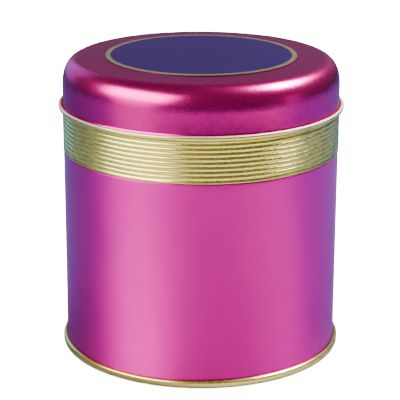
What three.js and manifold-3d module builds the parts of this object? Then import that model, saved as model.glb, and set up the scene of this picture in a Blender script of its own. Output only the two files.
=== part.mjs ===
// Round talcum powder tin with a slip-on lid, a sifter with a turning dial, and a powder puff.
// Millimetres, +Z up. The origin is the middle of the foot, on the surface that the tin stands on.
import * as THREE from "three";
import { mergeVertices } from "three/addons/utils/BufferGeometryUtils.js";
import Module from "manifold-3d";

const wasm = await Module();
wasm.setup();

// Driving dimensions
const BODY_R = 43;
const TIN_HEIGHT = 93;
const SHEET = 0.3;
const GAP = 0.3;
const AROUND = 40;
const AROUND_SOFT = 32;
const AROUND_PIVOT = 16;
const AROUND_HOLE = 8;
const SHARPEST_CORNER = 0.5;
const CUTTER_REACH = 1;

// Base end and its seam
const SEAM_R = BODY_R + 1.3;
const SEAM_HEIGHT = 2.3;
const SEAM_ROUND = 0.7;
const CHUCK_FOOT_ROUND = 0.5;
const PANEL_Z = 2.7;
const PANEL_STEP = 0.6;
const PANEL_STEP_R = 34;
const PANEL_STEP_RUN = 1;
const CHUCK_ROUND = 0.6;
const HOOK_ROUND = 0.7;

// Body wall: a small flange at its foot, and a necked-in top
const FLANGE_Z = 0.9;
const FLANGE_ROUND = 0.3;
const NECKED_BELOW_BAND = 0.2;
const NECKED_START = 0.75;
const NECKED_BEND = 0.5;
const NECKED_BEND_IN = 0.15;
const WALL_END_BELOW_BAND = 0.5;

// Ribbed band around the necked-in top
const BAND_BOTTOM = 63.65;
const BAND_TOP = 76.4;
const BAND_CREST_R = BODY_R + 0.15;
const BAND_GROOVE_R = BAND_CREST_R - 0.27;
const BAND_INNER_R = BODY_R - 0.4;
const FIRST_GROOVE_Z = 64.6;
const RIB_PITCH = 1.387;
const GROOVES = 9;
const RIB_FLAT_FROM = 0.3;
const RIB_FLAT_TO = 0.7;
const BAND_EDGE_DOWN = 0.15;
const BAND_EDGE_IN = 0.15;

// Neck ring that the lid slips over
const NECK_BOTTOM = 66;
const NECK_TOP = 86.3;
const NECK_BEAD_Z = 81.5;
const NECK_BEAD_OUT = 0.7;
const NECK_BEAD_HALF = 1.8;
const NECK_BEAD_STEPS = 4;
const NECK_CURL_R = 0.5;
const NECK_CURL_TAIL = 0.8;

// Lid
const SKIRT_R = BODY_R;
const CURL_R = 0.6;
const CURL_FLAT = 0.3;
const CURL_X = BODY_R + 0.85;
const CURL_Z = BAND_TOP + GAP + CURL_R;
const CURL_STEPS = 4;
const SHOULDER_IN = 5.6;
const SHOULDER_DOWN = 8.2;
const SHOULDER_POWER = 2.3;
const CROWN_DROP = 0.8;
const CROWN_RINGS = [0, 0.4, 0.7, 0.9];
const SHOULDER_STEPS = 6;

// Label on the lid
const LABEL_R = 29.55;
const LABEL_THICK = 0.2;
const LABEL_LIFT = 0.05;
const LABEL_RINGS = [0, 0.5, 1];

// Sifter tray, dial and rivet
const TRAY_THICK = 1;
const TRAY_FLOOR = 70;
const TRAY_WALL_R = 39.9;
const TRAY_CORNER = 1;
const TRAY_INNER_CORNER = 0.8;
const TRAY_FLANGE_R = 42.2;
const TRAY_FLANGE_THICK = 0.8;
const TRAY_RIM_ROUND = 0.4;
const DIAL_R = 27;
const DIAL_THICK = 1;
const DIAL_TURN = 30;
const FINGER_BAR = { from: 7, to: 25, width: 2.4, height: 2 };
const PIVOT_R = 2.2;
const PIVOT_HEAD_R = 4.2;
const PIVOT_HEAD = 0.7;
const PIVOT_EDGE_IN = 0.4;
const PIVOT_EDGE_SHARE = 0.7;
const PIVOT_TOP_IN = 1.6;
const SECTORS = 6;
const HOLE_R = 1.05;
const HOLE_ROWS = [
  { radius: 12, angles: [0] },
  { radius: 17, angles: [-6.5, 6.5] },
  { radius: 22, angles: [-9, 0, 9] },
];

// Puff
const PUFF_R = 35.5;
const PUFF_CLEAR = 0.4;
const PAD_THICK = 8.5;
const BACKING_THICK = 1.5;
const BACKING_ROUND = 1;
const RIBBON = { half: 29, width: 14, thick: 0.5, rise: 1.6, steps: 12 };

const rad = THREE.MathUtils.degToRad;

// Materials
const metal = (color, roughness) => new THREE.MeshStandardMaterial({ color, roughness, metalness: 1 });
const soft = (color, roughness) => new THREE.MeshStandardMaterial({ color, roughness, metalness: 0 });
const magentaLacquer = () => metal(0xc03a93, 0.3);
const goldLacquer = () => metal(0xd9c98a, 0.25);
const brass = () => metal(0xc9a95a, 0.3);
const navyPaper = () => soft(0x2c2560, 0.5);
const ivoryPlastic = () => soft(0xf1ead9, 0.4);
const velour = () => soft(0xf3c9d8, 0.95);
const satin = () => soft(0xe88fbb, 0.4);

const group = new THREE.Group();

function addPiece(name, geometry, material) {
  const mesh = new THREE.Mesh(geometry, material);
  mesh.name = name;
  group.add(mesh);
  return mesh;
}

// Turns an outline in (radius, height) about +Z. The outline runs up on its outer side.
function turned(outline, segments = AROUND) {
  return new THREE.LatheGeometry(outline, segments).rotateX(Math.PI / 2);
}

const at = (radius, height) => new THREE.Vector2(radius, height);

// Outline of a formed sheet: its middle line moved half a sheet to each side.
// The line runs so that its right-hand side is the outer side, and if it starts on the axis it stays open there.
function sheetOutline(line, thickness = SHEET) {
  const onAxis = line[0].x === 0;
  const offset = (side) =>
    line.map((point, i) => {
      const before = line[Math.max(i - 1, 0)];
      const after = line[Math.min(i + 1, line.length - 1)];
      const first = point.clone().sub(before).normalize();
      const second = after.clone().sub(point).normalize();
      const along = first.add(second).normalize();
      const corner = i > 0 && i < line.length - 1 ? Math.max(along.dot(second), SHARPEST_CORNER) : 1;
      const reach = (side * thickness) / 2 / corner;
      const moved = at(point.x + along.y * reach, point.y - along.x * reach);
      return onAxis && i === 0 ? at(0, moved.y) : moved;
    });
  const outline = [...offset(1), ...offset(-1).reverse()];
  return onAxis ? outline : [...outline, outline[0].clone()];
}

// Points of an arc, its ends included, with angles in degrees from the +radius direction.
function arc(x, z, radius, from, to, steps) {
  return Array.from({ length: steps + 1 }, (_, i) => {
    const angle = rad(from + ((to - from) * i) / steps);
    return at(x + radius * Math.cos(angle), z + radius * Math.sin(angle));
  });
}

function toSolid(geometry) {
  const bare = geometry.index ? geometry.toNonIndexed() : geometry.clone();
  bare.deleteAttribute("normal");
  bare.deleteAttribute("uv");
  const merged = mergeVertices(bare, 1e-4);
  const mesh = new wasm.Mesh({
    numProp: 3,
    vertProperties: new Float32Array(merged.attributes.position.array),
    triVerts: new Uint32Array(merged.index.array),
  });
  mesh.merge();
  return new wasm.Manifold(mesh);
}

function toGeometry(solid) {
  const mesh = solid.getMesh();
  const geometry = new THREE.BufferGeometry();
  geometry.setAttribute("position", new THREE.BufferAttribute(new Float32Array(mesh.vertProperties), 3));
  geometry.setIndex(new THREE.BufferAttribute(new Uint32Array(mesh.triVerts), 1));
  return geometry;
}

function cylinder(radius, bottom, top, segments) {
  return new THREE.CylinderGeometry(radius, radius, top - bottom, segments)
    .rotateX(Math.PI / 2)
    .translate(0, 0, (top + bottom) / 2);
}

function baseEnd() {
  const half = SHEET / 2;
  const chuckX = BODY_R - SHEET - GAP - half;
  const wallX = SEAM_R - half;
  const hookZ = SEAM_HEIGHT - half;
  const line = [
    at(0, PANEL_Z + PANEL_STEP),
    at(PANEL_STEP_R, PANEL_Z + PANEL_STEP),
    at(PANEL_STEP_R + PANEL_STEP_RUN, PANEL_Z),
    at(chuckX - PANEL_STEP_RUN, PANEL_Z),
    ...arc(chuckX - CHUCK_ROUND, PANEL_Z - CHUCK_ROUND, CHUCK_ROUND, 60, 0, 1),
    ...arc(chuckX + CHUCK_FOOT_ROUND, half + CHUCK_FOOT_ROUND, CHUCK_FOOT_ROUND, 180, 270, 2),
    ...arc(wallX - SEAM_ROUND, half + SEAM_ROUND, SEAM_ROUND, 270, 360, 3),
    ...arc(wallX - HOOK_ROUND, hookZ - HOOK_ROUND, HOOK_ROUND, 0, 90, 3),
    at(BODY_R + GAP, hookZ),
  ];
  addPiece("base_end", turned(sheetOutline(line)), goldLacquer());
}

function bodyShell() {
  const half = SHEET / 2;
  const wallX = BODY_R - half;
  const neckedX = BAND_INNER_R - GAP - half;
  const line = [
    at(SEAM_R - SHEET - GAP, FLANGE_Z),
    at(wallX + FLANGE_ROUND, FLANGE_Z),
    at(wallX, FLANGE_Z + FLANGE_ROUND),
    at(wallX, BAND_BOTTOM - NECKED_START),
    at(wallX - NECKED_BEND_IN, BAND_BOTTOM - NECKED_BEND),
    at(neckedX, BAND_BOTTOM - NECKED_BELOW_BAND),
    at(neckedX, BAND_TOP - WALL_END_BELOW_BAND),
  ];
  addPiece("body_shell", turned(sheetOutline(line)), magentaLacquer());
}

function ribbedBand() {
  const outline = [at(BAND_INNER_R, BAND_BOTTOM), at(BAND_CREST_R, BAND_BOTTOM)];
  for (let i = 0; i < GROOVES; i += 1) {
    const z = FIRST_GROOVE_Z + i * RIB_PITCH;
    outline.push(at(BAND_GROOVE_R, z));
    if (i < GROOVES - 1) {
      outline.push(at(BAND_CREST_R, z + RIB_PITCH * RIB_FLAT_FROM));
      outline.push(at(BAND_CREST_R, z + RIB_PITCH * RIB_FLAT_TO));
    }
  }
  outline.push(at(BAND_CREST_R, BAND_TOP - BAND_EDGE_DOWN));
  outline.push(at(BAND_CREST_R - BAND_EDGE_IN, BAND_TOP));
  outline.push(at(BAND_INNER_R, BAND_TOP));
  outline.push(outline[0].clone());
  addPiece("ribbed_band", turned(outline), goldLacquer());
}

function neckRing() {
  const half = SHEET / 2;
  const wallX = BAND_INNER_R - 2 * GAP - SHEET - half;
  const bead = Array.from({ length: NECK_BEAD_STEPS + 1 }, (_, i) => {
    const share = (2 * i) / NECK_BEAD_STEPS - 1;
    const out = (NECK_BEAD_OUT * (1 + Math.cos(Math.PI * share))) / 2;
    return at(wallX + out, NECK_BEAD_Z + share * NECK_BEAD_HALF);
  });
  const curlZ = NECK_TOP - half - NECK_CURL_R;
  const line = [
    at(wallX, NECK_BOTTOM),
    ...bead,
    ...arc(wallX - NECK_CURL_R, curlZ, NECK_CURL_R, 0, 180, 4),
    at(wallX - 2 * NECK_CURL_R, curlZ - NECK_CURL_TAIL),
  ];
  addPiece("neck_ring", turned(sheetOutline(line)), goldLacquer());
}

// Height of the lid's outer surface inside its shoulder: a shallow crown.
const FLAT_R = SKIRT_R - SHOULDER_IN;
const crownHeight = (radius) => TIN_HEIGHT - CROWN_DROP * (radius / FLAT_R) ** 2;

function lidShell() {
  const half = SHEET / 2;
  const wallX = SKIRT_R - half;
  const crown = CROWN_RINGS.map((share) => at(share * FLAT_R, crownHeight(share * FLAT_R) - half));
  const shoulderZ = crownHeight(FLAT_R) - SHOULDER_DOWN;
  const shoulder = Array.from({ length: SHOULDER_STEPS + 1 }, (_, i) => {
    const angle = (Math.PI / 2) * (1 - i / SHOULDER_STEPS);
    const out = Math.cos(angle) ** (2 / SHOULDER_POWER);
    const up = Math.sin(angle) ** (2 / SHOULDER_POWER);
    return at(FLAT_R + (SHOULDER_IN - half) * out, shoulderZ + (SHOULDER_DOWN - half) * up);
  });
  const sheet = sheetOutline([...crown, ...shoulder, at(wallX, CURL_Z + CURL_FLAT + CURL_R)]);
  const inside = sheet.slice(0, sheet.length / 2);
  const outside = sheet.slice(sheet.length / 2);
  const curl = [
    at(wallX - half, CURL_Z - CURL_R),
    ...arc(CURL_X, CURL_Z, CURL_R, -90, 0, CURL_STEPS),
    ...arc(CURL_X, CURL_Z + CURL_FLAT, CURL_R, 0, 120, CURL_STEPS),
  ];
  addPiece("lid_shell", turned([...inside, ...curl, ...outside]), magentaLacquer());
}

function lidLabel() {
  const rings = LABEL_RINGS.map((share) => share * LABEL_R);
  const bottom = rings.map((radius) => at(radius, crownHeight(radius) + LABEL_LIFT));
  const top = rings.map((radius) => at(radius, crownHeight(radius) + LABEL_LIFT + LABEL_THICK));
  addPiece("lid_label", turned([...bottom, ...top.reverse()]), navyPaper());
}

// One cutter for all sifter holes, turned by an angle in degrees about the tin's axis.
function holeCutter(bottom, top, turn) {
  let cutter = toSolid(cylinder(PIVOT_R + GAP, bottom, top, AROUND_PIVOT));
  for (let sector = 0; sector < SECTORS; sector += 1) {
    for (const { radius, angles } of HOLE_ROWS) {
      for (const angle of angles) {
        const way = rad((sector * 360) / SECTORS + angle + turn);
        const hole = cylinder(HOLE_R, bottom, top, AROUND_HOLE);
        hole.rotateZ(way).translate(radius * Math.cos(way), radius * Math.sin(way), 0);
        cutter = cutter.add(toSolid(hole));
      }
    }
  }
  return cutter;
}

function sifterTray() {
  const flangeBottom = NECK_TOP + GAP;
  const flangeTop = flangeBottom + TRAY_FLANGE_THICK;
  const innerX = TRAY_WALL_R - TRAY_THICK;
  const floorTop = TRAY_FLOOR + TRAY_THICK;
  const outline = [
    at(0, TRAY_FLOOR),
    at(TRAY_WALL_R - TRAY_CORNER, TRAY_FLOOR),
    at(TRAY_WALL_R, TRAY_FLOOR + TRAY_CORNER),
    at(TRAY_WALL_R, flangeBottom),
    at(TRAY_FLANGE_R, flangeBottom),
    at(TRAY_FLANGE_R, flangeTop),
    at(innerX + TRAY_RIM_ROUND, flangeTop),
    at(innerX, flangeTop - TRAY_RIM_ROUND),
    at(innerX, floorTop + TRAY_INNER_CORNER),
    at(innerX - TRAY_INNER_CORNER, floorTop),
    at(0, floorTop),
  ];
  const blank = toSolid(turned(outline));
  const tray = blank.subtract(holeCutter(TRAY_FLOOR - CUTTER_REACH, floorTop + CUTTER_REACH, 0));
  addPiece("sifter_tray", toGeometry(tray), ivoryPlastic());
}

function sifterDial() {
  const bottom = TRAY_FLOOR + TRAY_THICK + GAP;
  const top = bottom + DIAL_THICK;
  const { from, to, width, height } = FINGER_BAR;
  let dial = toSolid(cylinder(DIAL_R, bottom, top, AROUND));
  dial = dial.subtract(holeCutter(bottom - CUTTER_REACH, top + CUTTER_REACH, DIAL_TURN));
  for (const side of [-1, 1]) {
    const bar = new THREE.BoxGeometry(to - from, width, height + DIAL_THICK / 2);
    bar.translate((side * (from + to)) / 2, 0, top - DIAL_THICK / 2 + (height + DIAL_THICK / 2) / 2);
    dial = dial.add(toSolid(bar));
  }
  addPiece("sifter_dial", toGeometry(dial), ivoryPlastic());
}

function dialRivet() {
  const dialTop = TRAY_FLOOR + TRAY_THICK + GAP + DIAL_THICK;
  const underside = TRAY_FLOOR - GAP;
  const upper = dialTop + GAP;
  const outline = [
    at(0, underside - PIVOT_HEAD),
    at(PIVOT_HEAD_R, underside - PIVOT_HEAD),
    at(PIVOT_HEAD_R, underside),
    at(PIVOT_R, underside),
    at(PIVOT_R, upper),
    at(PIVOT_HEAD_R, upper),
    at(PIVOT_HEAD_R - PIVOT_EDGE_IN, upper + PIVOT_HEAD * PIVOT_EDGE_SHARE),
    at(PIVOT_HEAD_R - PIVOT_TOP_IN, upper + PIVOT_HEAD),
    at(0, upper + PIVOT_HEAD),
  ];
  addPiece("dial_rivet", turned(outline, AROUND_PIVOT), brass());
}

const PUFF_BOTTOM = TRAY_FLOOR + TRAY_THICK + GAP + DIAL_THICK + FINGER_BAR.height + PUFF_CLEAR;

function puffPad() {
  const half = PAD_THICK / 2;
  const middle = PUFF_BOTTOM + half;
  const outline = [
    at(0, PUFF_BOTTOM),
    ...arc(PUFF_R - half, middle, half, -90, 90, 6),
    at(0, PUFF_BOTTOM + PAD_THICK),
  ];
  addPiece("puff_pad", turned(outline, AROUND_SOFT), velour());
}

const BACKING_BOTTOM = PUFF_BOTTOM + PAD_THICK + GAP;

function puffBacking() {
  const radius = PUFF_R - PAD_THICK / 2;
  const outline = [
    at(0, BACKING_BOTTOM),
    at(radius, BACKING_BOTTOM),
    at(radius, BACKING_BOTTOM + BACKING_THICK / 2),
    at(radius - BACKING_ROUND, BACKING_BOTTOM + BACKING_THICK),
    at(0, BACKING_BOTTOM + BACKING_THICK),
  ];
  addPiece("puff_backing", turned(outline, AROUND_SOFT), satin());
}

// The ribbon lies across the backing and arches over its middle, so that two fingers can take it.
function puffRibbon() {
  const lift = (x) => (RIBBON.rise * (1 + Math.cos((Math.PI * x) / RIBBON.half))) / 2;
  const across = Array.from({ length: RIBBON.steps + 1 }, (_, i) => {
    return -RIBBON.half + (2 * RIBBON.half * i) / RIBBON.steps;
  });
  const under = across.map((x) => at(x, lift(x)));
  const over = across.map((x) => at(x, lift(x) + RIBBON.thick)).reverse();
  const band = new THREE.ExtrudeGeometry(new THREE.Shape([...under, ...over]), {
    depth: RIBBON.width,
    bevelEnabled: false,
  });
  band.translate(0, 0, -RIBBON.width / 2).rotateX(Math.PI / 2);
  band.translate(0, 0, BACKING_BOTTOM + BACKING_THICK + GAP);
  addPiece("puff_ribbon", band, satin());
}

baseEnd();
bodyShell();
ribbedBand();
neckRing();
sifterTray();
sifterDial();
dialRivet();
puffPad();
puffBacking();
puffRibbon();
lidShell();
lidLabel();

export default group;
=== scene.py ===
"""Looks of the talcum powder tin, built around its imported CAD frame.

Everything is in metres in the frame's own axes. +Z is up, the camera looks along +Y, and the lapped seam of
the body is at +Y, at the back.
"""

import math

import bpy
from mathutils import Matrix, Vector, noise

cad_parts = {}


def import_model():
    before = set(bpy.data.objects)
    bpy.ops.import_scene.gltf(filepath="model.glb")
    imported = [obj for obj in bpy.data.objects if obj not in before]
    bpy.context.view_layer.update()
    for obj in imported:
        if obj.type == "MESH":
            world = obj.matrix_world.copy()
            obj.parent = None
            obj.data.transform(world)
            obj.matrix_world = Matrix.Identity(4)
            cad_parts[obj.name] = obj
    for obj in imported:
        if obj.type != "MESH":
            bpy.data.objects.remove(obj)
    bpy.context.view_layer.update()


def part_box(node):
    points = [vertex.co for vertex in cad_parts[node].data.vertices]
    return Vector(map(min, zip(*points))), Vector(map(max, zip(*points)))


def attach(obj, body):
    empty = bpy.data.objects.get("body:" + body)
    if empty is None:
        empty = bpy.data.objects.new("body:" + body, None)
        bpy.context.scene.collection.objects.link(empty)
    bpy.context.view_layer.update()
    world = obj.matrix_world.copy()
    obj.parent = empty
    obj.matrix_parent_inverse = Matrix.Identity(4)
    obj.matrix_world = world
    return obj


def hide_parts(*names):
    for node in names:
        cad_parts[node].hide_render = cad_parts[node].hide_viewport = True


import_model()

MM = 0.001
AROUND = 256

# Places, from the frame
LID_LOW, LID_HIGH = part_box("lid_shell")
BAND_LOW, BAND_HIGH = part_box("ribbed_band")
NECK_LOW, NECK_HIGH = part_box("neck_ring")
BASE_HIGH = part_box("base_end")[1]
BODY_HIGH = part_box("body_shell")[1]
LABEL_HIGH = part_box("lid_label")[1]
TRAY_LOW, TRAY_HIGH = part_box("sifter_tray")
DIAL_LOW, DIAL_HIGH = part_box("sifter_dial")
RIVET_LOW, RIVET_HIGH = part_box("dial_rivet")
PAD_LOW, PAD_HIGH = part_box("puff_pad")
BACKING_LOW, BACKING_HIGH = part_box("puff_backing")
RIBBON_LOW, RIBBON_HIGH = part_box("puff_ribbon")

# Sheet metal, and the radii that the rest follows
SHEET = 0.3 * MM
HALF_SHEET = SHEET / 2
GAP = 0.3 * MM
CREST_R = BAND_HIGH.x
WALL_R = CREST_R - 0.15 * MM
SKIRT_R = WALL_R

# Base end and body wall
PANEL_STEP = 0.6 * MM
PANEL_STEP_R = 34 * MM
PANEL_STEP_ROUND = 0.4 * MM
CHUCK_ROUND = 0.6 * MM
FOOT_ROUND = 0.5 * MM
SEAM_HEIGHT = 2.3 * MM
SEAM_ROUND = 0.7 * MM
FLANGE_Z = 0.9 * MM
FLANGE_ROUND = 0.3 * MM
NECKED_IN = 0.7 * MM
NECKED_ROUND = 0.2 * MM

# Lapped side seam: how far it stands out, and the share of that at offsets around the wall, in millimetres
SEAM_LAP = 0.22 * MM
SEAM_SHARES = [(-2.2, 0), (-2.14, 1), (0, 1), (1.4, 1), (1.8, 0.85), (2.2, 0.5), (2.6, 0.15), (3, 0)]
SEAM_PROFILE = [(offset * MM, share) for offset, share in SEAM_SHARES]

# Ribbed band
FIRST_GROOVE = 64.6 * MM
RIB_PITCH = 1.387 * MM
RIB_DEPTH = 0.27 * MM
RIB_STEPS = 14
RIB_POWER = 0.6
BAND_THICK = 0.55 * MM
BAND_EDGE = 0.1 * MM
BAND_TOP_ROUND = 0.12 * MM
GROOVES = 9

# Neck ring
NECK_BEAD_Z = 81.5 * MM
NECK_BEAD_HALF = 1.8 * MM
NECK_BEAD_OUT = 0.7 * MM
NECK_CURL_R = 0.5 * MM
NECK_CURL_TAIL = 0.8 * MM

# Lid and label
CURL_R = 0.6 * MM
CURL_FLAT = 0.3 * MM
CURL_ABOVE = 1.1 * MM
CURL_CORNER = 0.5 * MM
SHOULDER_IN = 5.6 * MM
SHOULDER_DOWN = 8.2 * MM
SHOULDER_POWER = 2.3
SHOULDER_STEPS = 40
CROWN_DROP = 0.8 * MM
CROWN_STEPS = 16
FLAT_R = SKIRT_R - SHOULDER_IN
LABEL_RING = 1.5 * MM
LABEL_THICK = 0.2 * MM

# Sifter tray, dial and rivet
TRAY_THICK = 1 * MM
TRAY_WALL_R = 39.9 * MM
TRAY_FLANGE = 0.8 * MM
DIAL_THICK = 1 * MM
DIAL_TURN = 30
BAR_FROM = 7 * MM
BAR_TO = 25 * MM
BAR_HALF = 1.2 * MM
HOLE_R = 1.05 * MM
HOLE_ROWS = [(12 * MM, [0]), (17 * MM, [-6.5, 6.5]), (22 * MM, [-9, 0, 9])]
SECTORS = 6
PIVOT_R = 2.2 * MM
RIVET_HEAD = 0.7 * MM

# Powder puff
PAD_MARGIN = 1.1 * MM
PAD_SEAM_IN = 1.2 * MM
PAD_GATHER = 0.28 * MM
PAD_TUFT = 0.16 * MM
PAD_BRUSHED = 0.14 * MM
PAD_SWELL = 1.2 * MM
SATIN_THICK = 0.25 * MM
SATIN_GATHER = 0.13 * MM
RIBBON_THICK = 0.32 * MM
RIBBON_INSET = 0.2 * MM
RIBBON_EDGE = 0.12 * MM
RIM_STITCHES = 84
STITCH_INSET = 1.5 * MM


# ---------------------------------------------------------------- outlines

def arc(x, z, radius, start, end, steps):
    """Points of an arc, its ends included, in degrees from the +radius direction."""
    turns = [math.radians(start + (end - start) * i / steps) for i in range(steps + 1)]
    return [(x + radius * math.cos(t), z + radius * math.sin(t)) for t in turns]


def filleted(corners, step=12):
    """A line through corners (x, z, radius), each corner rounded to its radius."""
    line = [corners[0][:2]]
    for i in range(1, len(corners) - 1):
        here = Vector(corners[i][:2])
        back = (Vector(corners[i - 1][:2]) - here).normalized()
        ahead = (Vector(corners[i + 1][:2]) - here).normalized()
        opening = math.acos(max(-1, min(1, back.dot(ahead))))
        radius = corners[i][2]
        if radius == 0:
            line.append(tuple(here))
            continue
        reach = radius / math.tan(opening / 2)
        middle = here + (back + ahead).normalized() * radius / math.sin(opening / 2)
        first = here + back * reach - middle
        turn = math.pi - opening
        if first.x * ahead.y - first.y * ahead.x < 0:
            turn = -turn
        count = max(2, round(math.degrees(abs(turn)) / step))
        for k in range(count + 1):
            angle = turn * k / count
            x = first.x * math.cos(angle) - first.y * math.sin(angle)
            z = first.x * math.sin(angle) + first.y * math.cos(angle)
            line.append((middle.x + x, middle.y + z))
    line.append(corners[-1][:2])
    return line


def offset_line(line, distance):
    """The line moved to its right-hand side by a distance, its point on the axis kept there."""
    moved = []
    for i, (x, z) in enumerate(line):
        before = Vector(line[max(i - 1, 0)])
        after = Vector(line[min(i + 1, len(line) - 1)])
        here = Vector((x, z))
        first = (here - before).normalized() if i else (after - here).normalized()
        second = (after - here).normalized() if i < len(line) - 1 else first
        along = (first + second).normalized()
        reach = distance / max(along.dot(second), 0.5)
        moved.append((0.0 if x == 0 else x + along.y * reach, z - along.x * reach))
    return moved


# ---------------------------------------------------------------- meshes

def make_object(name, mesh, materials, body, nodes):
    """A piece from its mesh: materials, the body it rides on, and the CAD nodes it stands for."""
    piece = bpy.data.objects.new(name, mesh)
    bpy.context.scene.collection.objects.link(piece)
    for material in materials:
        mesh.materials.append(material)
    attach(piece, body)
    if nodes:
        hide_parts(*nodes)
    return piece


def even_angles(count):
    return [2 * math.pi * k / count for k in range(count)]


def turned_mesh(name, outline, kinds=None, angles=even_angles(AROUND), closed=True, warp=None, sharp=35):
    """Turns an outline of (radius, height) about +Z. kinds gives each stretch of it its material number."""
    around = len(angles)
    verts, rings = [], []
    for x, z in outline:
        if x < 1e-7:
            rings.append([len(verts)] * around)
            verts.append(Vector((0, 0, z)))
            continue
        ring = []
        for angle in angles:
            radius = x + (warp(angle, z) if warp else 0)
            ring.append(len(verts))
            verts.append(Vector((radius * math.cos(angle), radius * math.sin(angle), z)))
        rings.append(ring)
    faces, numbers = [], []
    stretches = len(rings) if closed and outline[0][0] > 1e-7 else len(rings) - 1
    for i in range(stretches):
        low, high = rings[i], rings[(i + 1) % len(rings)]
        for k in range(around):
            n = (k + 1) % around
            corners = list(dict.fromkeys([low[k], low[n], high[n], high[k]]))
            if len(corners) > 2:
                faces.append(corners)
                numbers.append(kinds[i] if kinds else 0)
    mesh = bpy.data.meshes.new(name)
    mesh.from_pydata(verts, [], faces)
    mesh.polygons.foreach_set("material_index", numbers)
    mesh.polygons.foreach_set("use_smooth", [True] * len(faces))
    mesh.set_sharp_from_angle(angle=math.radians(sharp))
    mesh.validate()
    return mesh


def sheet_mesh(name, line, thickness=SHEET, sides=(0, 0), edge=0, **more):
    """A formed sheet from its middle line. sides are the material numbers on its right and on its left."""
    right = offset_line(line, thickness / 2)
    left = offset_line(line, -thickness / 2)
    outline = right + left[::-1]
    count = len(line)
    kinds = [sides[0]] * (count - 1) + [edge] + [sides[1]] * (count - 1) + [edge]
    return turned_mesh(name, outline, kinds, **more)


def applied(mesh, *changes):
    """The mesh after modifiers, each given as (kind, settings)."""
    holder = bpy.data.objects.new("holder", mesh)
    bpy.context.scene.collection.objects.link(holder)
    for kind, settings in changes:
        modifier = holder.modifiers.new(kind, kind)
        for key, value in settings.items():
            setattr(modifier, key, value)
    bpy.context.view_layer.update()
    shown = holder.evaluated_get(bpy.context.evaluated_depsgraph_get())
    result = bpy.data.meshes.new_from_object(shown)
    bpy.data.objects.remove(holder)
    return result


def combined(mesh, other, operation):
    """Boolean of two closed meshes: UNION or DIFFERENCE."""
    tool = bpy.data.objects.new("tool", other)
    bpy.context.scene.collection.objects.link(tool)
    result = applied(mesh, ("BOOLEAN", {"object": tool, "operation": operation, "solver": "EXACT"}))
    bpy.data.objects.remove(tool)
    return result


def joined(name, parts):
    """One mesh from several, each given as (points, faces)."""
    verts, faces = [], []
    for points, loops in parts:
        first = len(verts)
        verts += points
        faces += [[first + i for i in loop] for loop in loops]
    mesh = bpy.data.meshes.new(name)
    mesh.from_pydata(verts, [], faces)
    return mesh


def prism(corners, low, high):
    """A straight solid over a ring of (x, y) corners."""
    count = len(corners)
    points = [(x, y, low) for x, y in corners] + [(x, y, high) for x, y in corners]
    sides = [[k, (k + 1) % count, count + (k + 1) % count, count + k] for k in range(count)]
    return points, [list(range(count))[::-1], list(range(count, 2 * count)), *sides]


def ring_of(x, y, radius, count):
    turns = [2 * math.pi * k / count for k in range(count)]
    return [(x + radius * math.cos(t), y + radius * math.sin(t)) for t in turns]


def finished(mesh, bevel, sharp=35):
    """The mesh with small rounds on its edges, shaded smooth between sharp ones."""
    rounded = applied(mesh, ("BEVEL", {"width": bevel, "segments": 2, "limit_method": "ANGLE",
                                       "angle_limit": math.radians(40), "use_clamp_overlap": True}))
    rounded.polygons.foreach_set("use_smooth", [True] * len(rounded.polygons))
    rounded.set_sharp_from_angle(angle=math.radians(sharp))
    return rounded


# ---------------------------------------------------------------- materials

class Nodes:
    """A short way to write a material's nodes."""

    def __init__(self, name):
        self.material = bpy.data.materials.new(name)
        self.material.use_nodes = True
        self.tree = self.material.node_tree
        self.shader = self.tree.nodes["Principled BSDF"]
        self.place = self.add("ShaderNodeTexCoord").outputs["Object"]

    def add(self, kind, **settings):
        node = self.tree.nodes.new(kind)
        for key, value in settings.items():
            setattr(node, key, value)
        return node

    def link(self, output, socket):
        self.tree.links.new(output, socket)

    def set(self, **values):
        for key, value in values.items():
            self.shader.inputs[key.replace("_", " ")].default_value = value

    def feed(self, name, output):
        self.link(output, self.shader.inputs[name])

    def noise(self, scale, detail=4, roughness=0.5, vector=None):
        """Noise of about scale features a metre, in the object's own space."""
        node = self.add("ShaderNodeTexNoise")
        node.inputs["Scale"].default_value = scale
        node.inputs["Detail"].default_value = detail
        node.inputs["Roughness"].default_value = roughness
        self.link(vector or self.place, node.inputs["Vector"])
        return node.outputs["Fac"]

    def between(self, value, low, high, to_low, to_high):
        """The value moved from one range to another, and kept inside it."""
        node = self.add("ShaderNodeMapRange")
        self.link(value, node.inputs["Value"])
        names = ("From Min", "From Max", "To Min", "To Max")
        for key, number in zip(names, (low, high, to_low, to_high)):
            node.inputs[key].default_value = number
        return node.outputs["Result"]

    def mixed(self, factor, first, second):
        """Two colours, or outputs that give one, mixed by a factor."""
        node = self.add("ShaderNodeMix", data_type="RGBA")
        self.link(factor, node.inputs["Factor"])
        for socket, value in ((node.inputs[6], first), (node.inputs[7], second)):
            if isinstance(value, tuple):
                socket.default_value = (*value, 1)
            else:
                self.link(value, socket)
        return node.outputs[2]

    def bump(self, height, distance, strength=1.0, below=None):
        """A bump of a distance in metres, on top of another one if given."""
        node = self.add("ShaderNodeBump")
        node.inputs["Strength"].default_value = strength
        node.inputs["Distance"].default_value = distance
        self.link(height, node.inputs["Height"])
        if below:
            self.link(below, node.inputs["Normal"])
        return node.outputs["Normal"]


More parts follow.
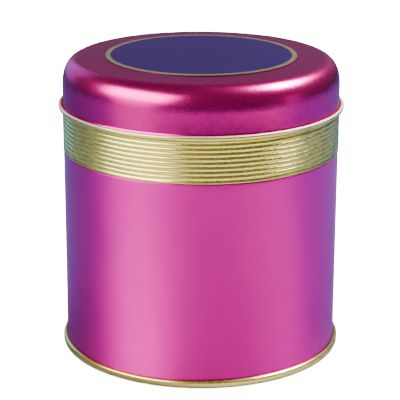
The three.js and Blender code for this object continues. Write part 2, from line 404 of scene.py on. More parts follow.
def lacquer(name, colour, dark, edge, roughness, coat, drawn=0.0):
    """Coloured lacquer over bright tinplate: a metal whose edge-on colour differs, under a thin clear coat.

    drawn is how far the sheet's rolled grain, which runs around the tin, draws reflections out in height.
    """
    n = Nodes(name)
    cloud = n.noise(35, 3)
    n.feed("Base Color", n.mixed(n.between(cloud, 0.35, 0.65, 0, 1), colour, dark))
    grain = n.noise(5200, 2, 0.6)
    wipe = n.noise(60, 4, 0.6)
    rough = n.add("ShaderNodeMath", operation="ADD")
    n.link(n.between(grain, 0.3, 0.7, roughness - 0.03, roughness + 0.03), rough.inputs[0])
    n.link(n.between(wipe, 0.35, 0.7, -0.01, 0.02), rough.inputs[1])
    n.feed("Roughness", rough.outputs[0])
    peel = n.bump(n.noise(900, 2), 0.000006)
    n.feed("Normal", n.bump(grain, 0.0000012, 1.0, peel))
    n.set(Metallic=1.0, Specular_Tint=(*edge, 1), Coat_Weight=coat, Coat_Roughness=0.4, Coat_IOR=1.5)
    if drawn:
        around = n.add("ShaderNodeTangent", direction_type="RADIAL", axis="Z")
        n.feed("Tangent", around.outputs["Tangent"])
        n.set(Anisotropic=drawn, Anisotropic_Rotation=0.25)
    return n.material


def magenta_lid():
    colour, dark, edge = (0.80, 0.06, 0.32), (0.77, 0.055, 0.30), (0.5, 0.6, 0.8)
    return lacquer("magenta_lid_lacquer", colour, dark, edge, roughness=0.28, coat=0.38)


def magenta_body():
    colour, dark, edge = (0.80, 0.055, 0.41), (0.77, 0.05, 0.39), (0.5, 0.8, 1.0)
    return lacquer("magenta_body_lacquer", colour, dark, edge, roughness=0.42, coat=0.7, drawn=0.5)


def gold():
    colour, dark, edge = (0.79, 0.69, 0.25), (0.77, 0.67, 0.24), (0.42, 0.72, 0.9)
    return lacquer("gold_lacquer", colour, dark, edge, roughness=0.265, coat=0.3)


def printed_gold():
    """Dull gold ink on coated paper: bronze flakes in a grey-green ground."""
    n = Nodes("printed_gold_ink")
    flakes = n.noise(4200, 2, 0.7)
    shine = n.between(flakes, 0.35, 0.65, 0, 1)
    n.feed("Base Color", n.mixed(shine, (0.17, 0.17, 0.12), (0.25, 0.235, 0.15)))
    n.feed("Roughness", n.between(flakes, 0.3, 0.7, 0.4, 0.55))
    n.feed("Normal", n.bump(flakes, 0.000003))
    n.set(Metallic=0.5, Specular_IOR_Level=0.4)
    return n.material


def rim_highlight():
    """The crest of the curl, given a pale cream colour as a painted highlight: the bright line of light along
    it.
    """
    n = Nodes("painted_rim_highlight")
    # Mottled patches within the crest's painted highlight.
    rim_mottle = n.noise(420, 4, 0.65)
    fine = n.noise(4200, 2, 0.6)
    patch_tone = n.between(rim_mottle, 0.4, 0.65, 0, 1)
    n.feed("Base Color", n.mixed(patch_tone, (0.86, 0.72, 0.6), (0.78, 0.66, 0.42)))
    n.feed("Roughness", n.between(fine, 0.3, 0.7, 0.45, 0.6))
    n.feed("Normal", n.bump(fine, 0.000002))
    n.set(Metallic=0.4)
    return n.material


def navy_label():
    """Matt navy print with the faint tooth of coated paper."""
    n = Nodes("navy_label_print")
    fibres = n.noise(1500, 4, 0.6)
    cloud = n.noise(70, 3)
    tone = n.mixed(n.between(fibres, 0.35, 0.65, 0, 1), (0.026, 0.0092, 0.084), (0.031, 0.011, 0.095))
    n.feed("Base Color", n.mixed(n.between(cloud, 0.4, 0.65, 0, 0.4), tone, (0.034, 0.0125, 0.103)))
    n.feed("Roughness", n.between(fibres, 0.3, 0.7, 0.46, 0.58))
    n.feed("Normal", n.bump(fibres, 0.000006, 0.7))
    n.set(Specular_IOR_Level=0.35)
    return n.material


def ivory():
    """Moulded plastic, slightly translucent, with a fine mould grain and a trace of talc on it."""
    n = Nodes("ivory_plastic")
    talc = n.between(n.noise(420, 6, 0.7), 0.55, 0.72, 0, 0.6)
    tone = n.mixed(n.noise(60, 3), (0.70, 0.63, 0.48), (0.76, 0.69, 0.54))
    n.feed("Base Color", n.mixed(talc, tone, (0.88, 0.87, 0.84)))
    n.feed("Roughness", n.between(talc, 0, 0.6, 0.34, 0.75))
    n.feed("Normal", n.bump(n.noise(2600, 3), 0.000008, 0.6))
    n.set(Subsurface_Weight=0.15, Subsurface_Radius=(1.0, 0.7, 0.5), Subsurface_Scale=0.001)
    return n.material


def brass():
    """Turned brass with fine rings and a little tarnish."""
    n = Nodes("turned_brass")
    tarnish = n.between(n.noise(330, 5, 0.6), 0.45, 0.8, 0, 0.6)
    n.feed("Base Color", n.mixed(tarnish, (0.82, 0.66, 0.36), (0.60, 0.44, 0.23)))
    rings = n.add("ShaderNodeTexWave", wave_type="RINGS", rings_direction="Z")
    rings.inputs["Scale"].default_value = 1500
    rings.inputs["Distortion"].default_value = 0.4
    n.link(n.place, rings.inputs["Vector"])
    n.feed("Roughness", n.between(tarnish, 0, 1, 0.22, 0.42))
    n.feed("Normal", n.bump(rings.outputs["Fac"], 0.000005, 0.5))
    n.set(Metallic=1.0)
    return n.material


def velour():
    """Short plush pile: tufts painted lighter on their tips and darker between them, as painted highlight and
    painted shade.
    """
    n = Nodes("velour_pile")
    tufts = n.noise(1100, 3, 0.6)
    brushed = n.noise(130, 4, 0.6)
    # Tuft tips painted light and the hollows between them dark: painted highlight and painted shade.
    tuft_light_and_shade = n.mixed(n.between(tufts, 0.3, 0.7, 0, 1), (0.50, 0.14, 0.26), (0.86, 0.44, 0.57))
    n.feed("Base Color", n.mixed(n.between(brushed, 0.4, 0.62, 0, 0.35), tuft_light_and_shade, (0.9, 0.54, 0.65)))
    n.feed("Normal", n.bump(tufts, 0.00035, 0.9, n.bump(brushed, 0.0006, 0.5)))
    n.set(Roughness=0.95, Specular_IOR_Level=0.15)
    n.set(Sheen_Weight=0.5, Sheen_Roughness=0.4, Sheen_Tint=(1.0, 0.68, 0.80, 1))
    return n.material


def satin(name, turn, dark, light, patch_tone):
    """Woven satin: fine floats along one direction, with a soft streaky gloss across them."""
    n = Nodes(name)
    way = n.add("ShaderNodeMapping")
    way.inputs["Rotation"].default_value = (0, 0, math.radians(turn))
    way.inputs["Scale"].default_value = (260, 3600, 600)
    n.link(n.place, way.inputs["Vector"])
    floats = n.noise(1, 3, 0.6, way.outputs["Vector"])
    sag = n.noise(95, 3)
    tone = n.mixed(n.between(floats, 0.3, 0.7, 0, 1), dark, light)
    n.feed("Base Color", n.mixed(n.between(sag, 0.4, 0.65, 0, 0.3), tone, patch_tone))
    n.feed("Roughness", n.between(floats, 0.3, 0.7, 0.28, 0.44))
    n.feed("Normal", n.bump(floats, 0.00004, 0.8, n.bump(sag, 0.0003, 0.35)))
    n.set(Specular_IOR_Level=0.6, Sheen_Weight=0.4, Sheen_Roughness=0.3, Sheen_Tint=(1.0, 0.7, 0.85, 1))
    n.set(Anisotropic=0.6)
    return n.material


def thread():
    """Twisted sewing thread."""
    n = Nodes("sewing_thread")
    twist = n.noise(5200, 2)
    n.feed("Base Color", n.mixed(n.between(twist, 0.35, 0.65, 0, 1), (0.62, 0.12, 0.30), (0.88, 0.42, 0.58)))
    n.feed("Normal", n.bump(twist, 0.00003))
    n.set(Roughness=0.6, Sheen_Weight=0.3)
    return n.material


MAGENTA_LID = magenta_lid()
MAGENTA_BODY = magenta_body()
GOLD = gold()
NAVY = navy_label()
RIM_HIGHLIGHT = rim_highlight()
PRINTED_GOLD = printed_gold()
IVORY = ivory()
BRASS = brass()
VELOUR = velour()
SATIN_BACK = satin("satin_back", 90, (0.70, 0.18, 0.38), (0.84, 0.32, 0.53), (0.88, 0.42, 0.60))
SATIN_RIBBON = satin("satin_ribbon", 0, (0.44, 0.015, 0.14), (0.60, 0.035, 0.22), (0.66, 0.06, 0.26))
THREAD = thread()


# ---------------------------------------------------------------- tin body

def base_end():
    """The bottom end: a stepped panel, a wall down to the foot, and a seam hooked around the body."""
    chuck = WALL_R - SHEET - GAP - HALF_SHEET
    wall = BASE_HIGH.x - HALF_SHEET
    panel = BASE_HIGH.z - HALF_SHEET
    hook = SEAM_HEIGHT - HALF_SHEET
    line = filleted([
        (0, panel, 0),
        (PANEL_STEP_R, panel, PANEL_STEP_ROUND),
        (PANEL_STEP_R + MM, panel - PANEL_STEP, PANEL_STEP_ROUND),
        (chuck, panel - PANEL_STEP, CHUCK_ROUND),
        (chuck, HALF_SHEET, FOOT_ROUND),
        (wall, HALF_SHEET, SEAM_ROUND),
        (wall, hook, SEAM_ROUND),
        (WALL_R + 0.25 * MM, hook, 0),
    ], step=8)
    make_object("gold_base", sheet_mesh("gold_base", line), [GOLD], "tin_body", ["base_end"])


def seam_angles():
    """Angles around the wall, set closer where its side seam laps at the back."""
    laps = [math.pi / 2 + offset / WALL_R for offset, share in SEAM_PROFILE]
    clear = 0.4 * MM / WALL_R
    plain = [angle for angle in even_angles(AROUND) if not laps[0] - clear < angle < laps[-1] + clear]
    return sorted(plain + laps)


def seam_lap(angle, z):
    """How far the wall stands out at the lapped seam."""
    offset = (angle - math.pi / 2) * WALL_R
    if not FLANGE_Z + 1.5 * MM < z < BAND_LOW.z - 2 * MM:
        return 0
    for (start, low), (end, high) in zip(SEAM_PROFILE, SEAM_PROFILE[1:]):
        if start <= offset <= end:
            return SEAM_LAP * (low + (high - low) * (offset - start) / (end - start))
    return 0


def body_wall():
    """The rolled wall, flanged at its foot, necked in at its top and lapped at the back."""
    wall = WALL_R - HALF_SHEET
    top = BAND_LOW.z - 0.1 * MM
    line = filleted([
        (BODY_HIGH.x, FLANGE_Z, 0),
        (wall, FLANGE_Z, FLANGE_ROUND),
        (wall, FLANGE_Z + 1.6 * MM, 0),
        (wall, top - 2 * MM, 0),
        (wall, top - 0.2 * MM, NECKED_ROUND),
        (wall - NECKED_IN, top, NECKED_ROUND),
        (wall - NECKED_IN, BODY_HIGH.z, 0),
    ])
    mesh = sheet_mesh("magenta_body", line, sides=(0, 1), edge=1, angles=seam_angles(), warp=seam_lap)
    make_object("magenta_body", mesh, [MAGENTA_BODY, GOLD], "tin_body", ["body_shell"])


def ribbed_band():
    """The gold ring: full round ribs between nine narrow grooves."""
    inner = CREST_R - BAND_THICK
    last_groove = FIRST_GROOVE + (GROOVES - 1) * RIB_PITCH
    outline = [
        (inner, BAND_LOW.z),
        (CREST_R - BAND_EDGE, BAND_LOW.z),
        (CREST_R, BAND_LOW.z + BAND_EDGE),
        (CREST_R, BAND_LOW.z + 0.35 * MM),
    ]
    for k in range((GROOVES - 1) * RIB_STEPS + 1):
        rib = math.sin(math.pi * (k % RIB_STEPS) / RIB_STEPS) ** RIB_POWER
        outline.append((CREST_R - RIB_DEPTH * (1 - rib), FIRST_GROOVE + k * RIB_PITCH / RIB_STEPS))
    outline.append((CREST_R, last_groove + 0.4 * MM))
    outline += arc(CREST_R - BAND_TOP_ROUND, BAND_HIGH.z - BAND_TOP_ROUND, BAND_TOP_ROUND, 0, 90, 6)
    outline.append((inner, BAND_HIGH.z))
    mesh = turned_mesh("gold_ribbed_band", outline, sharp=50)
    make_object("gold_ribbed_band", mesh, [GOLD], "tin_body", ["ribbed_band"])


def neck_ring():
    """The inner ring that the lid slips over, with a friction bead and an inward curl at its top."""
    wall = NECK_HIGH.x - NECK_BEAD_OUT - HALF_SHEET
    shares = [i / 12 for i in range(-12, 13)]
    bead = [(wall + NECK_BEAD_OUT * (1 + math.cos(math.pi * share)) / 2, NECK_BEAD_Z + NECK_BEAD_HALF * share)
            for share in shares]
    top = NECK_HIGH.z - HALF_SHEET - NECK_CURL_R
    curl = arc(wall - NECK_CURL_R, top, NECK_CURL_R, 0, 180, 14)
    line = [(wall, NECK_LOW.z), *bead, *curl, (wall - 2 * NECK_CURL_R, top - NECK_CURL_TAIL)]
    make_object("gold_neck", sheet_mesh("gold_neck", line), [GOLD], "tin_body", ["neck_ring"])


# ---------------------------------------------------------------- lid

def crown_height(radius):
    """Top of the lid's crown: a very shallow dome."""
    return LID_HIGH.z - CROWN_DROP * (radius / FLAT_R) ** 2


def highlight_crest(mesh, crest):
    """Gives the curl's faces above a height the lid's third material, its pale painted highlight."""
    for face in mesh.polygons:
        out = math.hypot(face.center.x, face.center.y)
        if out > SKIRT_R + HALF_SHEET and face.center.z > crest:
            face.material_index = 2


def lid_cup():
    """One drawn cup: a crowned top, a rounded shoulder, a skirt, and its edge rolled outwards."""
    wall = SKIRT_R - HALF_SHEET
    radii = [FLAT_R * i / CROWN_STEPS for i in range(CROWN_STEPS)]
    crown = [(radius, crown_height(radius) - HALF_SHEET) for radius in radii]
    low = crown_height(FLAT_R) - SHOULDER_DOWN
    shoulder = []
    for i in range(SHOULDER_STEPS + 1):
        angle = math.pi / 2 * (1 - i / SHOULDER_STEPS)
        out = math.cos(angle) ** (2 / SHOULDER_POWER)
        up = math.sin(angle) ** (2 / SHOULDER_POWER)
        shoulder.append((FLAT_R + (SHOULDER_IN - HALF_SHEET) * out, low + (SHOULDER_DOWN - HALF_SHEET) * up))
    middle = LID_HIGH.x - CURL_R
    height = LID_LOW.z + CURL_R
    roll = CURL_R - HALF_SHEET
    curl = arc(middle, height, roll, 180, 360, 24) + arc(middle, height + CURL_FLAT, roll, 0, 140, 20)
    skirt = filleted([(wall, low, 0), (wall, height + CURL_ABOVE, CURL_CORNER), curl[0] + (0,)])
    line = crown + shoulder + skirt[1:-1] + curl
    mesh = sheet_mesh("lid_cup", line, sides=(1, 0), edge=1)
    # The curl's crest is painted pale as a highlight.
    highlight_crest(mesh, height + CURL_FLAT + 0.5 * CURL_R)
    make_object("lid_cup", mesh, [MAGENTA_LID, GOLD, RIM_HIGHLIGHT], "lid", ["lid_shell"])


def label_disc():
    """The printed label: a navy disc with a dull gold ring printed along its edge."""
    rim = LABEL_HIGH.x
    lift = LABEL_HIGH.z - LID_HIGH.z
    ring_in = rim - LABEL_RING
    rings = [ring_in * i / 20 for i in range(21)]
    rings += [ring_in + (rim - ring_in) * i / 5 for i in range(1, 6)]
    top = [(r, crown_height(r) + lift) for r in rings]
    bottom = [(r, crown_height(r) + lift - LABEL_THICK) for r in (0, rim)]
    kinds = [0, 1] + [1] * 5 + [0] * 20
    mesh = turned_mesh("label_disc", bottom + top[::-1], kinds, closed=False)
    make_object("label_disc", mesh, [NAVY, PRINTED_GOLD], "lid", ["lid_label"])


# ---------------------------------------------------------------- sifter

def hole_cutter(low, high, turn):
    """The pivot's hole and all sifter holes, turned by an angle in degrees about the tin's axis."""
    parts = [prism(ring_of(0, 0, PIVOT_R + GAP, 48), low, high)]
    for sector in range(SECTORS):
        for radius, angles in HOLE_ROWS:
            for angle in angles:
                way = math.radians(sector * 360 / SECTORS + angle + turn)
                hole = ring_of(radius * math.cos(way), radius * math.sin(way), HOLE_R, 24)
                parts.append(prism(hole, low, high))
    return joined("holes", parts)


def sifter_tray():
    """The moulded tray that hangs in the neck by its flange, with holes through its floor."""
    wall = TRAY_WALL_R
    inner = wall - TRAY_THICK
    low, high = TRAY_LOW.z, TRAY_HIGH.z
    under = high - TRAY_FLANGE
    outline = filleted([
        (0, low, 0),
        (wall, low, 1.1 * MM),
        (wall, under, 0.2 * MM),
        (TRAY_HIGH.x, under, 0.25 * MM),
        (TRAY_HIGH.x, high, 0.3 * MM),
        (inner, high, 0.4 * MM),
        (inner, low + TRAY_THICK, 0.8 * MM),
        (0, low + TRAY_THICK, 0),
    ])
    blank = turned_mesh("sifter_tray", outline, closed=False, angles=even_angles(192))
    tray = combined(blank, hole_cutter(low - MM, low + 2 * MM, 0), "DIFFERENCE")
    make_object("ivory_tray", finished(tray, 0.12 * MM), [IVORY], "sifter", ["sifter_tray"])


def sifter_dial():
    """The disc with the same holes, turned out of line with the tray's, and a finger bar on each side."""
    low = DIAL_LOW.z
    top = low + DIAL_THICK
    outline = filleted([
        (0, low, 0),
        (DIAL_HIGH.x, low, 0.2 * MM),
        (DIAL_HIGH.x, top, 0.35 * MM),
        (0, top, 0),
    ])
    dial = turned_mesh("sifter_dial", outline, closed=False, angles=even_angles(192))
    dial = combined(dial, hole_cutter(low - MM, top + MM, DIAL_TURN), "DIFFERENCE")
    for side in (-1, 1):
        near, far = sorted((BAR_FROM * side, BAR_TO * side))
        corners = [(near, -BAR_HALF), (far, -BAR_HALF), (far, BAR_HALF), (near, BAR_HALF)]
        bar = joined("bar", [prism(corners, top - DIAL_THICK / 2, DIAL_HIGH.z)])
        dial = combined(dial, bar, "UNION")
    make_object("ivory_dial", finished(dial, 0.22 * MM), [IVORY], "dial", ["sifter_dial"])


def dial_rivet():
    """A rivet with a flat head below the tray's floor and a domed one above the dial."""
    head = RIVET_HIGH.x
    low, high = RIVET_LOW.z, RIVET_HIGH.z
    under = low + RIVET_HEAD
    over = high - RIVET_HEAD
    rim = over + 0.15 * MM
    turns = [math.pi / 2 * (1 - i / 14) for i in range(15)]
    dome = [(head * math.sin(turn), rim + (high - rim) * math.cos(turn)) for turn in turns]
    outline = filleted([
        (0, low, 0),
        (head, low, 0.3 * MM),
        (head, under, 0.15 * MM),
        (PIVOT_R, under, 0),
        (PIVOT_R, over, 0),
        (head, over, 0.05 * MM),
        dome[0] + (0,),
    ])
    mesh = turned_mesh("dial_rivet", outline + dome[1:-1] + [(0, high)], closed=False, angles=even_angles(96))
    make_object("brass_rivet", mesh, [BRASS], "sifter", ["dial_rivet"])


# ---------------------------------------------------------------- powder puff

def inflated(mesh, pinned, times=10, pressure=4.0, most=PAD_SWELL):
    """The mesh after a short cloth simulation under pressure, run at a larger scale and scaled back."""
    rest = [v.co.copy() for v in mesh.vertices]
    mesh.transform(Matrix.Scale(times, 4))
    holder = bpy.data.objects.new("inflating", mesh)
    bpy.context.scene.collection.objects.link(holder)
    held = holder.vertex_groups.new(name="pinned")
    held.add([i for i, at in enumerate(rest) if pinned(at)], 1.0, "ADD")
    cloth = holder.modifiers.new("cloth", "CLOTH")
    cloth.settings.use_pressure = True
    cloth.settings.uniform_pressure_force = pressure
    cloth.settings.vertex_group_mass = "pinned"
    cloth.settings.effector_weights.gravity = 0
    cloth.settings.tension_stiffness = 12
    cloth.settings.bending_stiffness = 1.2
    cloth.point_cache.frame_start = 1
    cloth.point_cache.frame_end = 20
    for frame_number in range(1, 21):
        bpy.context.scene.frame_set(frame_number)
    shown = holder.evaluated_get(bpy.context.evaluated_depsgraph_get())
    result = bpy.data.meshes.new_from_object(shown)
    bpy.data.objects.remove(holder)
    bpy.context.scene.frame_set(1)
    result.transform(Matrix.Scale(1 / times, 4))
    capped = []
    for vertex, start in zip(result.vertices, rest):
        moved = vertex.co - start
        if moved.length > most:
            moved *= most / moved.length
        capped += list(start + moved)
    result.vertices.foreach_set("co", capped)
    return result


def disc_cushion(name, rim, low, high, cells=44, side_cells=8):
    """A rounded disc of even four-sided faces, which suits cloth better than a turned one."""
    half = (high - low) / 2
    middle = (high + low) / 2
    flat = rim - half
    verts, faces, known = [], [], {}

    def corner(u, v, level):
        key = (u, v, level)
        if key not in known:
            a, b = 2 * u / cells - 1, 2 * v / cells - 1
            x, y = a * math.sqrt(1 - b * b / 2), b * math.sqrt(1 - a * a / 2)
            turn = math.pi * (level / side_cells - 0.5)
            radius = flat + half * math.cos(turn)
            known[key] = len(verts)
            verts.append(Vector((x * radius, y * radius, middle + half * math.sin(turn))))
        return known[key]

    for u in range(cells):
        for v in range(cells):
            square = [(u, v), (u, v + 1), (u + 1, v + 1), (u + 1, v)]
            faces.append([corner(*at, 0) for at in square])
            faces.append([corner(*at, side_cells) for at in square[::-1]])
    edge = [(k, 0) for k in range(cells)] + [(cells, k) for k in range(cells)]
    edge += [(cells - k, cells) for k in range(cells)] + [(0, cells - k) for k in range(cells)]
    for i, here in enumerate(edge):
        ahead = edge[(i + 1) % len(edge)]
        for level in range(side_cells):
            faces.append([corner(*here, level), corner(*ahead, level),
                          corner(*ahead, level + 1), corner(*here, level + 1)])
    mesh = bpy.data.meshes.new(name)
    mesh.from_pydata(verts, [], faces)
    return mesh


def puff_pad():
    """A plush disc, tight at the seam under the backing and full at its rim and face."""
    low, high = PAD_LOW.z + 0.9 * MM, PAD_HIGH.z - 0.3 * MM
    seam = BACKING_HIGH.x - PAD_SEAM_IN
    middle = (high + low) / 2
    skin = disc_cushion("puff_pad", PAD_HIGH.x - PAD_MARGIN, low, high)
    skin = inflated(skin, lambda at: at.z > middle and math.hypot(at.x, at.y) < seam)
    skin = applied(skin, ("SUBSURF", {"levels": 2, "render_levels": 2}))
    places = [vertex.co.copy() for vertex in skin.vertices]
    normals = [vertex.normal.copy() for vertex in skin.vertices]
    shaped = []
    for at, normal in zip(places, normals):
        out = math.hypot(at.x, at.y)
        angle = math.atan2(at.y, at.x)
        near_seam = math.exp(-((out - seam - PAD_SEAM_IN) / (1.8 * MM)) ** 2) if at.z > middle else 0
        gather = PAD_GATHER * near_seam * (0.6 * math.cos(34 * angle) + 0.4 * math.cos(57 * angle + 1.3))
        tuft = PAD_TUFT * noise.noise(at * 900) + PAD_BRUSHED * noise.noise(at * 300)
        moved = at + normal * (gather + tuft)
        shaped += [moved.x, moved.y, min(max(moved.z, PAD_LOW.z), PAD_HIGH.z)]
    skin.vertices.foreach_set("co", shaped)
    skin.polygons.foreach_set("use_smooth", [True] * len(skin.polygons))
    pad = make_object("velour_pad", skin, [VELOUR], "puff", ["puff_pad"])


def backing_height(x, y):
    """Top of the satin back: a shallow crown with faint gathers that run in from its sewn edge."""
    rim = BACKING_HIGH.x
    out = min(math.hypot(x, y) / rim, 1)
    angle = math.atan2(y, x)
    crown = (1 - out ** 4) * (BACKING_HIGH.z - BACKING_LOW.z - 0.5 * MM)
    gather = SATIN_GATHER * out ** 6 * (math.cos(46 * angle) + 0.5 * math.cos(71 * angle + 2))
    return BACKING_LOW.z + 0.3 * MM + crown + gather


def puff_backing():
    """The satin cover of the puff's back, with its underside, both along backing_height."""
    rim = BACKING_HIGH.x
    steps, around = 26, 288
    rings = [rim * (i / steps) ** 0.8 for i in range(1, steps + 1)]
    thick = SATIN_THICK
    verts, faces = [(0, 0, backing_height(0, 0)), (0, 0, backing_height(0, 0) - thick)], []
    for radius in rings:
        for k in range(around):
            angle = 2 * math.pi * k / around
            x, y = radius * math.cos(angle), radius * math.sin(angle)
            z = backing_height(x, y)
            verts += [(x, y, z), (x, y, z - thick)]
    for k in range(around):
        n = (k + 1) % around
        faces += [(0, 2 + 2 * k, 2 + 2 * n), (1, 3 + 2 * n, 3 + 2 * k)]
        for i in range(steps - 1):
            a, b = 2 + 2 * (i * around + k), 2 + 2 * (i * around + n)
            c, d = a + 2 * around, b + 2 * around
            faces += [(a, c, d, b), (a + 1, b + 1, d + 1, c + 1)]
        a, b = 2 + 2 * ((steps - 1) * around + k), 2 + 2 * ((steps - 1) * around + n)
        faces.append((a, a + 1, b + 1, b))
    mesh = bpy.data.meshes.new("puff_backing")
    mesh.from_pydata(verts, [], faces)
    mesh.polygons.foreach_set("use_smooth", [True] * len(faces))
    mesh.set_sharp_from_angle(angle=math.radians(50))
    back = make_object("satin_back", mesh, [SATIN_BACK], "puff", ["puff_backing"])


def ribbon_point(along, across, half, width):
    """A point of the ribbon's middle surface. along and across go from -1 to 1."""
    x = along * half
    y = across * width / 2 * (1 - 0.05 * abs(along) ** 3)
    arch = (RIBBON_HIGH.z - RIBBON_LOW.z - 0.5 * MM) * (1 + math.cos(math.pi * along)) / 2
    floor_z = backing_height(x, y) + 0.22 * MM
    lift = max(0.0, RIBBON_LOW.z - backing_height(0, 0)) * (1 - abs(along) ** 6)
    wave = 0.1 * MM * math.sin(5 * across + 3 * along) * abs(along)
    return Vector((x, y, floor_z + lift + arch + wave * (1 - along ** 2)))


def puff_ribbon():
    """The satin band across the puff's back, sewn down at both ends, with thicker selvages."""
    half, width, thick = RIBBON_HIGH.x - RIBBON_INSET, 2 * RIBBON_HIGH.y, RIBBON_THICK
    long_steps, wide_steps = 116, 28
    verts, faces = [], []
    for i in range(long_steps + 1):
        for j in range(wide_steps + 1):
            along, across = -1 + 2 * i / long_steps, -1 + 2 * j / wide_steps
            edge = RIBBON_EDGE * math.exp(-((1 - abs(across)) / 0.07) ** 2)
            middle = ribbon_point(along, across, half, width)
            verts += [middle + Vector((0, 0, thick / 2 + edge)), middle - Vector((0, 0, thick / 2))]
    row = 2 * (wide_steps + 1)
    for i in range(long_steps):
        for j in range(wide_steps):
            a = i * row + 2 * j
            b, c, d = a + 2, a + row, a + row + 2
            faces += [(a, c, d, b), (a + 1, b + 1, d + 1, c + 1)]
        a, b = i * row, i * row + 2 * wide_steps
        faces += [(a, a + 1, a + 1 + row, a + row), (b, b + row, b + 1 + row, b + 1)]
    for j in range(wide_steps):
        a, b = 2 * j, long_steps * row + 2 * j
        faces += [(a, a + 2, a + 3, a + 1), (b, b + 1, b + 3, b + 2)]
    mesh = bpy.data.meshes.new("puff_ribbon")
    mesh.from_pydata(verts, [], faces)
    mesh.polygons.foreach_set("use_smooth", [True] * len(faces))
    mesh.set_sharp_from_angle(angle=math.radians(50))
    ribbon = make_object("satin_ribbon", mesh, [SATIN_RIBBON], "puff", ["puff_ribbon"])


def stitch(start, end, bow, thick=0.17 * MM):
    """A short bowed thread from one needle hole to the next."""
    along = end - start
    side = along.cross(Vector((0, 0, 1))).normalized()
    steps, around = 6, 8
    points = []
    for i in range(steps + 1):
        share = i / steps
        middle = start + along * share + Vector((0, 0, bow * math.sin(math.pi * share)))
        radius = thick * (0.55 + 0.45 * math.sin(math.pi * share))
        for k in range(around):
            turn = 2 * math.pi * k / around
            points.append(middle + side * radius * math.cos(turn) + Vector((0, 0, radius * math.sin(turn))))
    loops = [list(range(around))[::-1], [steps * around + k for k in range(around)]]
    for i in range(steps):
        for k in range(around):
            low, high, n = i * around, (i + 1) * around, (k + 1) % around
            loops.append([low + k, low + n, high + n, high + k])
    return points, loops


def puff_stitches():
    """Stitches around the satin back, and across both ends of the ribbon."""
    parts = []
    radius = BACKING_HIGH.x - STITCH_INSET
    for k in range(RIM_STITCHES):
        ends = []
        for share in (0.15, 0.85):
            angle = 2 * math.pi * (k + share) / RIM_STITCHES
            x, y = radius * math.cos(angle), radius * math.sin(angle)
            ends.append(Vector((x, y, backing_height(x, y) - 0.02 * MM)))
        if abs(ends[0].y) > RIBBON_HIGH.y + 0.4 * MM or abs(ends[0].x) < radius / 2:
            parts.append(stitch(ends[0], ends[1], 0.16 * MM))
    half, width = RIBBON_HIGH.x - RIBBON_INSET, 2 * RIBBON_HIGH.y
    for side in (-1, 1):
        for row in (0.945, 0.895):
            for j in range(9):
                first, last = -0.9 + 0.2 * j + 0.02, -0.9 + 0.2 * j + 0.17
                up = Vector((0, 0, 0.16 * MM))
                a = ribbon_point(side * row, first, half, width) + up
                b = ribbon_point(side * row, last, half, width) + up
                parts.append(stitch(a, b, 0.14 * MM, 0.15 * MM))
    mesh = joined("puff_stitches", parts)
    mesh.polygons.foreach_set("use_smooth", [True] * len(mesh.polygons))
    make_object("puff_stitches", mesh, [THREAD], "puff", [])


base_end()
body_wall()
ribbed_band()
neck_ring()
lid_cup()
label_disc()
sifter_tray()
sifter_dial()
dial_rivet()
puff_pad()
puff_backing()
puff_ribbon()
puff_stitches()


# ---------------------------------------------------------------- studio

# The camera: lens in millimetres, place in body radii, tilt and roll in degrees
LENS = 142.3
EYE = Vector((-0.0055, -11.15, 4.568)) * WALL_R
LOOK_DOWN = 17.48
ROLL = 0.2

# Lights stand this far from the tin, and point at its middle
NEAR = 0.8
FAR = 1.5
AIM = Vector((0, 0, 0.05))

# Brightness of the floor's own light, of the white wall and of the room, and half the floor's width
FLOOR_LIGHT = 24
WALL_GLOW = 6
ROOM_GLOW = 0.22
REACH = 6


def camera():
    data = bpy.data.cameras.new("camera")
    data.sensor_width = 36
    data.lens = LENS
    data.clip_end = 20
    eye = bpy.data.objects.new("camera", data)
    bpy.context.scene.collection.objects.link(eye)
    eye.location = EYE
    eye.rotation_mode = "ZXY"
    eye.rotation_euler = (math.radians(90 - LOOK_DOWN), 0, math.radians(ROLL))
    bpy.context.scene.camera = eye


def softbox(name, azimuth, elevation, distance, width, height, radiance, colour=(1, 1, 1)):
    """A soft light aimed at the tin. Azimuth is from the camera's side, positive to its right."""
    data = bpy.data.lights.new(name, "AREA")
    data.shape = "RECTANGLE"
    data.size = width
    data.size_y = height
    data.energy = radiance * math.pi * width * height
    data.color = colour
    lamp = bpy.data.objects.new(name, data)
    bpy.context.scene.collection.objects.link(lamp)
    turn, rise = math.radians(azimuth), math.radians(elevation)
    way = Vector((math.sin(turn) * math.cos(rise), -math.cos(turn) * math.cos(rise), math.sin(rise)))
    lamp.location = way * distance + AIM
    lamp.rotation_euler = way.to_track_quat("Z", "Y").to_euler()
    lamp.visible_camera = False


def studio_surface(name, material, corners, faces):
    """A surface of the studio, which isn't part of the tin."""
    mesh = bpy.data.meshes.new(name)
    mesh.from_pydata(corners, [], faces)
    mesh.materials.append(material)
    surface = bpy.data.objects.new(name, mesh)
    bpy.context.scene.collection.objects.link(surface)
    return surface


def plane(name, material, height):
    """A wide level plane."""
    square = [(-REACH, -REACH), (REACH, -REACH), (REACH, REACH), (-REACH, REACH)]
    corners = [(x, y, height) for x, y in square]
    return studio_surface(name, material, corners, [(0, 1, 2, 3)])


def only_seen(surface):
    """Leaves a surface to the camera: it neither lights, shades nor shows in the lacquer."""
    surface.visible_glossy = False
    surface.visible_diffuse = False
    surface.visible_shadow = False


def backdrop(radius=5.5, height=8):
    """A white wall all around, so that low views end in white too."""
    n = Nodes("white_backdrop")
    n.set(Emission_Color=(1, 1, 1, 1), Emission_Strength=WALL_GLOW)
    ring = ring_of(0, 0, radius, 96)
    count = len(ring)
    corners = [(x, y, level) for level in (-0.1, height) for x, y in ring]
    faces = [(k, (k + 1) % count, count + (k + 1) % count, count + k) for k in range(count)]
    only_seen(studio_surface("backdrop", n.material, corners, faces))


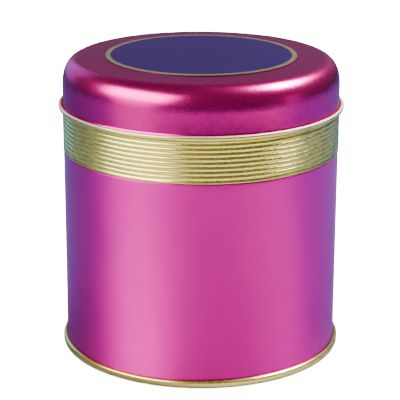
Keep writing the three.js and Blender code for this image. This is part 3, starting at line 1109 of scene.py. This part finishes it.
def floor():
    """The plain pale floor. Its own soft light from above keeps it white."""
    n = Nodes("pale_floor")
    n.set(Base_Color=(0.9, 0.9, 0.9, 1), Roughness=0.8, Specular_IOR_Level=0.2)
    pale = plane("floor", n.material, 0)
    only_seen(pale)
    lit = bpy.data.collections.new("lit_floor")
    lit.objects.link(pale)
    data = bpy.data.lights.new("floor_light", "SUN")
    data.angle = math.radians(50)
    data.energy = FLOOR_LIGHT
    lamp = bpy.data.objects.new("floor_light", data)
    bpy.context.scene.collection.objects.link(lamp)
    lamp.visible_glossy = False
    lamp.light_linking.receiver_collection = lit


def table():
    """What the lacquer mirrors below the horizon: a painted pool of light, white in front of the tin and
    fading into a blue-grey table top towards the tin and outwards.
    """
    n = Nodes("painted_light_pool_on_table")
    place = n.add("ShaderNodeMapping", vector_type="TEXTURE")
    place.inputs["Location"].default_value = (0, -0.2, 0)
    place.inputs["Scale"].default_value = (0.45, 0.2, 1)
    n.link(n.place, place.inputs["Vector"])
    spread = n.add("ShaderNodeTexGradient", gradient_type="SPHERICAL")
    n.link(place.outputs["Vector"], spread.inputs["Vector"])
    # The white patch is a painted pool of light, and its fall-off towards the tin is painted shade.
    sheet = n.between(spread.outputs["Fac"], 0, 0.35, 0, 1)
    n.feed("Base Color", n.mixed(sheet, (0.2, 0.26, 0.42), (0.68, 0.68, 0.68)))
    n.set(Roughness=0.8, Specular_IOR_Level=0.2)
    top = plane("table", n.material, -0.0002)
    top.visible_camera = False


def world():
    """A faint warm light from all sides."""
    room = bpy.data.worlds.new("room")
    room.use_nodes = True
    sky = room.node_tree.nodes["Background"]
    sky.inputs["Color"].default_value = (1, 0.98, 0.88, 1)
    sky.inputs["Strength"].default_value = ROOM_GLOW
    bpy.context.scene.world = room


camera()
softbox("left_softbox", -56, 30, NEAR, 0.82, 0.42, 4.8)
softbox("left_card", -54, 5, NEAR, 0.5, 0.3, 1.1)
softbox("right_card", 76, 4, NEAR, 0.22, 0.26, 0.5)
softbox("right_softbox", 103, 51, NEAR, 0.36, 0.22, 36)
softbox("rear_left", -145, 12, FAR, 0.9, 1.2, 0.8, (0.5, 0.78, 1))
softbox("rear_right", 155, 12, FAR, 0.8, 1.2, 0.04, (0.5, 0.8, 1))
softbox("rear_fill", 180, 25, FAR, 1.8, 1.0, 0.1, (1, 0.85, 0.95))
floor()
backdrop()
table()
world()
bpy.context.scene.view_settings.view_transform = "AgX"
bpy.context.scene.view_settings.look = "AgX - High Contrast"
